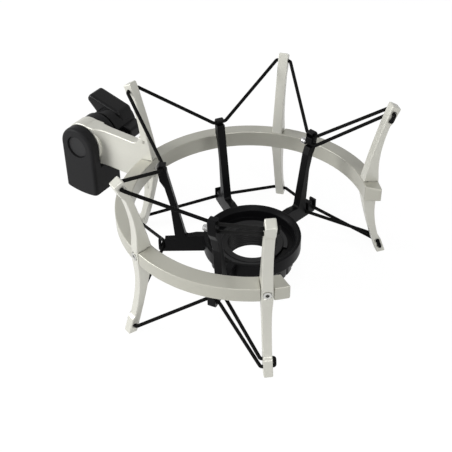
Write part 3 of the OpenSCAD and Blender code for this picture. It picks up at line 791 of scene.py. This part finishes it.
def nut_profile(angle):
    """Section of the nut at an angle: the fluted grip, its neck and the thread inside."""
    dip = flute_depth * max(0, cos(flutes * angle)) ** 3
    outside = [
        (thread_r + 0.7, nut_bottom),
        (grip_r - 1.0, nut_bottom),
        (grip_r - 0.35 - dip * 0.4, nut_bottom + 0.3),
        (grip_r - dip, nut_bottom + 1.0),
        (grip_r - dip, shoulder - 2.4),
        (grip_r - dip * 0.5, shoulder - 1.5),
        (grip_r, shoulder - 1.0),
        (grip_r, shoulder - 0.5),
        (grip_r - 0.15, shoulder - 0.15),
        (grip_r - 0.5, shoulder),
        (neck_r, shoulder),
        (neck_r, nut_top - 0.3),
        (neck_r - 0.3, nut_top),
        (thread_r + 0.7, nut_top)]
    thread = thread_wall(angle, thread_r, nut_bottom, nut_top, thread_pitch, thread_depth)
    return outside + thread


satin_black = surface("satin_black_paint", (0.009, 0.009, 0.0095), 0.34, grain=1800, patch=80,
                      spread=0.2, Specular_IOR_Level=0.2)
bm = bmesh.new()
close_rows(bm, [[(r * cos(a) * MM, r * sin(a) * MM, z * MM) for r, z in nut_profile(a)]
                for a in (2 * pi * i / 360 for i in range(360))])
nut = finish_mesh("locking_nut_turned", bm, 35)
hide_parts("locking_nut")
dress(nut, satin_black, "nut_unit")


# ---------------------------------------------------------------- elastics
# Two lengths of 2 mm elastic with a woven black cover. Each runs in a zigzag
# between the posts' holes and the cradle's hooks, and stretches as it floats.
cord_r, crimp_reach = 1.0, 3.2


def polar(angle, r, z, t, middle=Vector((0, 0, 0))):
    """Place at an angle, a radius and a height round a middle, moved sideways by t."""
    a = radians(angle)
    return Vector((r * cos(a) - t * sin(a), r * sin(a) + t * cos(a), z)) + middle


def cord_route(holes, seats, hole_half):
    """Corners of the cord and the body that each one lies on."""
    middle = ring_mid / MM
    half = arm_w / 2 + cord_r + 0.2
    crimp_end = arm_w / 2 + crimp_reach

    def hole(post, which, turn):
        r, z = holes[which]
        return [(polar(post_angles[post], r, z, side * hole_half, middle), "frame")
                for side in (-turn, turn)]

    def seat(arm, which, sides):
        r, z = seats[which]
        if arm > 1 and z > 0:
            z -= front_drop
        return [(polar(arm_angles[arm], r, z, side), "cradle_unit") for side in sides]

    return (
        seat(2, 1, (crimp_end, -half)) + hole(3, 1, -1) + hole(3, 0, 1)
        + seat(2, 0, (-half, half)) + hole(1, 0, 1) + seat(0, 0, (-half, half))
        + hole(0, 0, 1) + seat(1, 0, (-half, half)) + hole(2, 0, 1)
        + seat(3, 0, (-half, half)) + hole(4, 0, 1) + hole(4, 1, -1)
        + seat(3, 1, (half, -crimp_end)))


def eased(corners, cut=1.0, steps=6):
    """Points along the cord with its corners rounded, each with its body."""
    points = [corners[0]]
    for before, (at, body), after in zip(corners, corners[1:], corners[2:]):
        back = at + (before[0] - at).normalized() * cut
        on = at + (after[0] - at).normalized() * cut
        for i in range(steps + 1):
            s = i / steps
            points.append(((1 - s) ** 2 * back + 2 * s * (1 - s) * at + s * s * on, body))
    return points + [corners[-1]]


def stretches(points, step=2.0):
    """Cuts the cord into runs on one body and spans between two bodies."""
    runs = [[points[0]]]
    for here, there in zip(points, points[1:]):
        if here[1] == there[1]:
            runs[-1].append(there)
            continue
        gap = (there[0] - here[0]).length
        count = max(2, int(gap / step))
        owners = (here[1], there[1])
        runs.append([(here[0].lerp(there[0], i / count), owners) for i in range(count + 1)])
        runs.append([there])
    return runs


def cord_rings(runs, sides=12):
    """For each run, rings of points round the cord, each with its distance along it in mm."""
    side = Vector((0, 0.3, 1))
    along = 0.0
    made = []
    previous = None
    for run in runs:
        rings = []
        for i, (point, _) in enumerate(run):
            if previous is not None:
                along += (point - previous).length
            ahead = run[min(i + 1, len(run) - 1)][0] - run[max(i - 1, 0)][0]
            ahead.normalize()
            side = (side - ahead * side.dot(ahead)).normalized()
            other = ahead.cross(side)
            points = [point + cord_r * (side * cos(a) + other * sin(a))
                      for a in (2 * pi * k / sides for k in range(sides))]
            rings.append((points, along))
            previous = point
        made.append(rings)
    return made


def build_cord(name, tubes, woven):
    """Closed tubes in one mesh, with a UV map of turns round and millimetres along."""
    bm = bmesh.new()
    uv = bm.loops.layers.uv.new("round_and_along")
    for rings in tubes:
        sides = len(rings[0][0])
        verts = [[bm.verts.new(p * MM) for p in points] for points, _ in rings]
        for i in range(len(rings) - 1):
            for k in range(sides):
                n = (k + 1) % sides
                face = bm.faces.new((verts[i][k], verts[i][n], verts[i + 1][n], verts[i + 1][k]))
                corner_uv = ((k, i), (k + 1, i), (k + 1, i + 1), (k, i + 1))
                for loop, (turn_at, ring_at) in zip(face.loops, corner_uv):
                    loop[uv].uv = (turn_at / sides, rings[ring_at][1])
        for cap in (bm.faces.new(verts[0][::-1]), bm.faces.new(verts[-1])):
            for loop in cap.loops:
                loop[uv].uv = (0, rings[0][1])
    piece = finish_mesh(name, bm, 60)
    piece.data.materials.append(woven)
    return piece


def woven_cover():
    """Black yarn plaited round the cord: two sets of crossing ridges, with painted shade in the
    grooves.
    """
    material = bpy.data.materials.new("woven_cover")
    material.use_nodes = True
    tree = material.node_tree
    shader = tree.nodes["Principled BSDF"]
    plaits, plait_mm = 8, 0.9
    shader.inputs["Roughness"].default_value = 0.62
    shader.inputs["Specular IOR Level"].default_value = 0.03
    place = add_node(tree, "ShaderNodeUVMap", uv_map="round_and_along")
    parts = add_node(tree, "ShaderNodeSeparateXYZ")
    tree.links.new(place.outputs[0], parts.inputs[0])
    turns = add_node(tree, "ShaderNodeMath", {1: 2 * pi * plaits}, operation="MULTIPLY")
    rise = add_node(tree, "ShaderNodeMath", {1: 2 * pi / plait_mm}, operation="MULTIPLY")
    tree.links.new(parts.outputs["X"], turns.inputs[0])
    tree.links.new(parts.outputs["Y"], rise.inputs[0])
    ridges = []
    for operation in ("ADD", "SUBTRACT"):
        lean = add_node(tree, "ShaderNodeMath", operation=operation)
        tree.links.new(turns.outputs[0], lean.inputs[0])
        tree.links.new(rise.outputs[0], lean.inputs[1])
        wave = add_node(tree, "ShaderNodeMath", operation="SINE")
        tree.links.new(lean.outputs[0], wave.inputs[0])
        ridges.append(wave.outputs[0])
    over = add_node(tree, "ShaderNodeMath", operation="MAXIMUM")
    tree.links.new(ridges[0], over.inputs[0])
    tree.links.new(ridges[1], over.inputs[1])
    relief = add_node(tree, "ShaderNodeBump", {"Strength": 0.6, "Distance": 0.08 * MM})
    tree.links.new(over.outputs[0], relief.inputs["Height"])
    tree.links.new(relief.outputs[0], shader.inputs["Normal"])
    # Crests lighter, grooves darker: painted shade between the yarns.
    tone = add_node(tree, "ShaderNodeMapRange", {"From Min": -1, "To Min": 0.0025, "To Max": 0.01})
    tree.links.new(over.outputs[0], tone.inputs["Value"])
    gray = add_node(tree, "ShaderNodeCombineColor")
    for channel in ("Red", "Green", "Blue"):
        tree.links.new(tone.outputs[0], gray.inputs[channel])
    tree.links.new(gray.outputs[0], shader.inputs["Base Color"])
    return material


def string_elastic(node, holes, seats, hole_half, woven):
    """Strings one elastic: loops that ride on a body, and spans between two bodies."""
    runs = stretches(eased(cord_route(holes, seats, hole_half)))
    fixed = {"frame": [], "cradle_unit": []}
    span_number = 0
    for run, rings in zip(runs, cord_rings(runs)):
        owner = run[0][1]
        if isinstance(owner, str):
            fixed[owner].append(rings)
            continue
        span_number += 1
        piece = build_cord(f"{node}_span_{span_number:02d}", [rings], woven)
        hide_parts(node)
        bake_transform(piece)
    for body, label in (("frame", "post_loops"), ("cradle_unit", "hook_loops")):
        piece = build_cord(f"{node}_{label}", fixed[body], woven)
        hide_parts(node)
        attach(piece, body)


cover = woven_cover()
string_elastic("upper_elastic", upper_holes, upper_seats, 4.05, cover)
string_elastic("lower_elastic", lower_holes, lower_seats, 3.75, cover)


# ---------------------------------------------------------------- crimps
# A ribbed aluminium sleeve squeezed on each end of the elastics keeps them
# from slipping through the hooks of the two front arms.
def crimp_sleeve(bm, angle, r, z, mirror, sides=24):
    """Adds a sleeve beside an arm; mirror says on which side of it."""
    length, outer, inner, ribs = 3.4, 1.85, 1.12, 3
    start = arm_w / 2 + 0.25
    profile = [(inner, 0), (outer - 0.35, 0), (outer - 0.12, 0.15)]
    for i in range(ribs):
        middle = 0.5 + (length - 1.0) * (i + 0.5) / ribs
        profile += [(outer - 0.3, middle - 0.32), (outer, middle - 0.16), (outer, middle + 0.16),
                    (outer - 0.3, middle + 0.32)]
    profile += [(outer - 0.12, length - 0.15), (outer - 0.35, length), (inner, length)]
    spin = Matrix.Rotation(radians(angle), 3, "Z")
    rows = []
    for a in (2 * pi * k / sides for k in range(sides)):
        points = [Vector((r + radius * cos(a), mirror * (start + along), z + radius * sin(a)))
                  for radius, along in profile]
        rows.append([spin @ point * MM for point in points])
    close_rows(bm, rows)


bm = bmesh.new()
for seats in (upper_seats, lower_seats):
    r, z = seats[1]
    z -= front_drop if z > 0 else 0
    crimp_sleeve(bm, arm_angles[2], r, z, 1)
    crimp_sleeve(bm, arm_angles[3], r, z, -1)
crimps = finish_mesh("elastic_crimp_set", bm, 40)
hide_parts("elastic_crimps")
bright_metal = surface("bright_aluminium", (0.5, 0.5, 0.5), 0.3, metallic=1.0, grain=1500,
                       patch=300)
dress(crimps, bright_metal, "cradle_unit")


# ---------------------------------------------------------------- swivel
# A charcoal fork moulded with a square base. Its two ears clamp the
# bracket's barrel on a steel bolt, and a round cover closes the bolt's head.
charcoal = surface("charcoal_moulding", (0.02, 0.02, 0.0208), 0.44, grain=1400, bump=0.08,
                   patch=60, spread=0.2, Specular_IOR_Level=0.06)
dress(from_cad("swivel_moulding", "swivel_body", 0.5), charcoal, "swivel_unit")
cover_profile = [
    (0.02, -10.75), (5.7, -10.75), (6.3, -10.85), (6.75, -10.85), (7.0, -10.7), (7.12, -10.5),
    (7.12, -10.3), (0.02, -10.3)]
bm = bmesh.new()
revolve(bm, cover_profile, 96, across)
cover_disc = finish_mesh("pivot_cover", bm)
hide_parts("pivot_plug")
rubbed_cover = surface("rubbed_cover", (0.034, 0.034, 0.035), 0.5, grain=1400, bump=0.08,
                       patch=90, spread=0.2, Specular_IOR_Level=0.08)
dress(cover_disc, rubbed_cover, "swivel_unit")


# ---------------------------------------------------------------- stand threads
# A turned brass insert is moulded into the swivel's base, and a slotted brass
# reducer screws into it for the thinner stand thread.
brass = surface("turned_brass", (0.72, 0.55, 0.28), 0.28, metallic=1.0, grain=1200, patch=150)
dress(from_cad("stand_insert", "thread_insert", 0.2), brass, "swivel_unit")
dress(from_cad("stand_reducer", "thread_reducer", 0.15), brass, "swivel_unit")


# ---------------------------------------------------------------- clamp lever
# A glossy black moulding over a brass nut: a round hub with a flat blade and
# a short tail, and a small cap pressed in over the nut.
gloss_black = surface("gloss_black_moulding", (0.006, 0.006, 0.0065), 0.26, grain=1200, bump=0.02,
                      patch=50, spread=0.25, Specular_IOR_Level=0.14)
hub_r, hub_low, hub_high = 11.2, 13.0, 32.0
bolt_hole_r, nut_seat_r, cap_seat_r = 3.2, 6.6, 8.1
nut_seat_low, cap_seat_low = hub_low + 1.95, hub_high - 1.6
blade_low, blade_high = 19.3, hub_high - 0.4
hub_profile = [
    (bolt_hole_r, hub_low), (hub_r - 0.9, hub_low), (hub_r - 0.3, hub_low + 0.25),
    (hub_r, hub_low + 0.9), (hub_r, hub_high - 1.3), (hub_r - 0.35, hub_high - 0.45),
    (hub_r - 1.1, hub_high), (cap_seat_r + 0.5, hub_high), (cap_seat_r, hub_high - 0.4),
    (cap_seat_r, cap_seat_low), (nut_seat_r, cap_seat_low), (nut_seat_r, nut_seat_low),
    (bolt_hole_r, nut_seat_low)]
blade_outline = rounded([
    (-9.9, 4.0, 2.5), (-18.3, 12.5, 2.8), (-15.2, 16.6, 2.8), (7.8, 10.9, 3.4), (10.6, 3.6, 2.0),
    (0.0, 0.0, 1.5)])
tail_outline = rounded([
    (5.5, -6.4, 1.2), (16.0, -6.2, 1.8), (17.0, -4.6, 1.6), (17.0, 1.6, 1.8), (9.9, 2.6, 1.4),
    (5.5, 2.6, 1.2)])
bm = bmesh.new()
revolve(bm, hub_profile, 96, across)
slab(bm, blade_outline, blade_low, blade_high, 2.0, across, steps=5)
slab(bm, tail_outline, blade_low, blade_high, 1.0, across, steps=4)
lever = finish_mesh("lever_moulding", bm, 34)
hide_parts("clamp_lever")
dress(lever, gloss_black, "lever_unit")
dress(from_cad("lever_nut_cap", "lever_cap", 0.3), gloss_black, "lever_unit")


# ---------------------------------------------------------------- inner pieces
# What the casings hide keeps its machined shape: washers and the bush in
# natural acetal, the bolt, snap ring and clamp washer in steel, the nut in brass.
acetal = surface("natural_acetal", (0.78, 0.76, 0.7), 0.45, grain=900, patch=80)
black_acetal = surface("black_acetal", (0.012, 0.012, 0.012), 0.45, grain=900, patch=80,
                       spread=0.15, Specular_IOR_Level=0.2)
black_spring_steel = surface("black_spring_steel", (0.02, 0.02, 0.021), 0.4, grain=1500, patch=150,
                             spread=0.2, Specular_IOR_Level=0.25)
inner = (
    ("thrust_washer", black_acetal), ("pivot_bush", acetal), ("friction_washers", acetal),
    ("retaining_ring", black_spring_steel), ("pivot_bolt", zinc), ("lever_washer", zinc),
    ("lever_nut", brass))
for node, material in inner:
    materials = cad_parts[node].data.materials
    materials.clear()
    materials.append(material)

scene.view_settings.view_transform = "Standard"
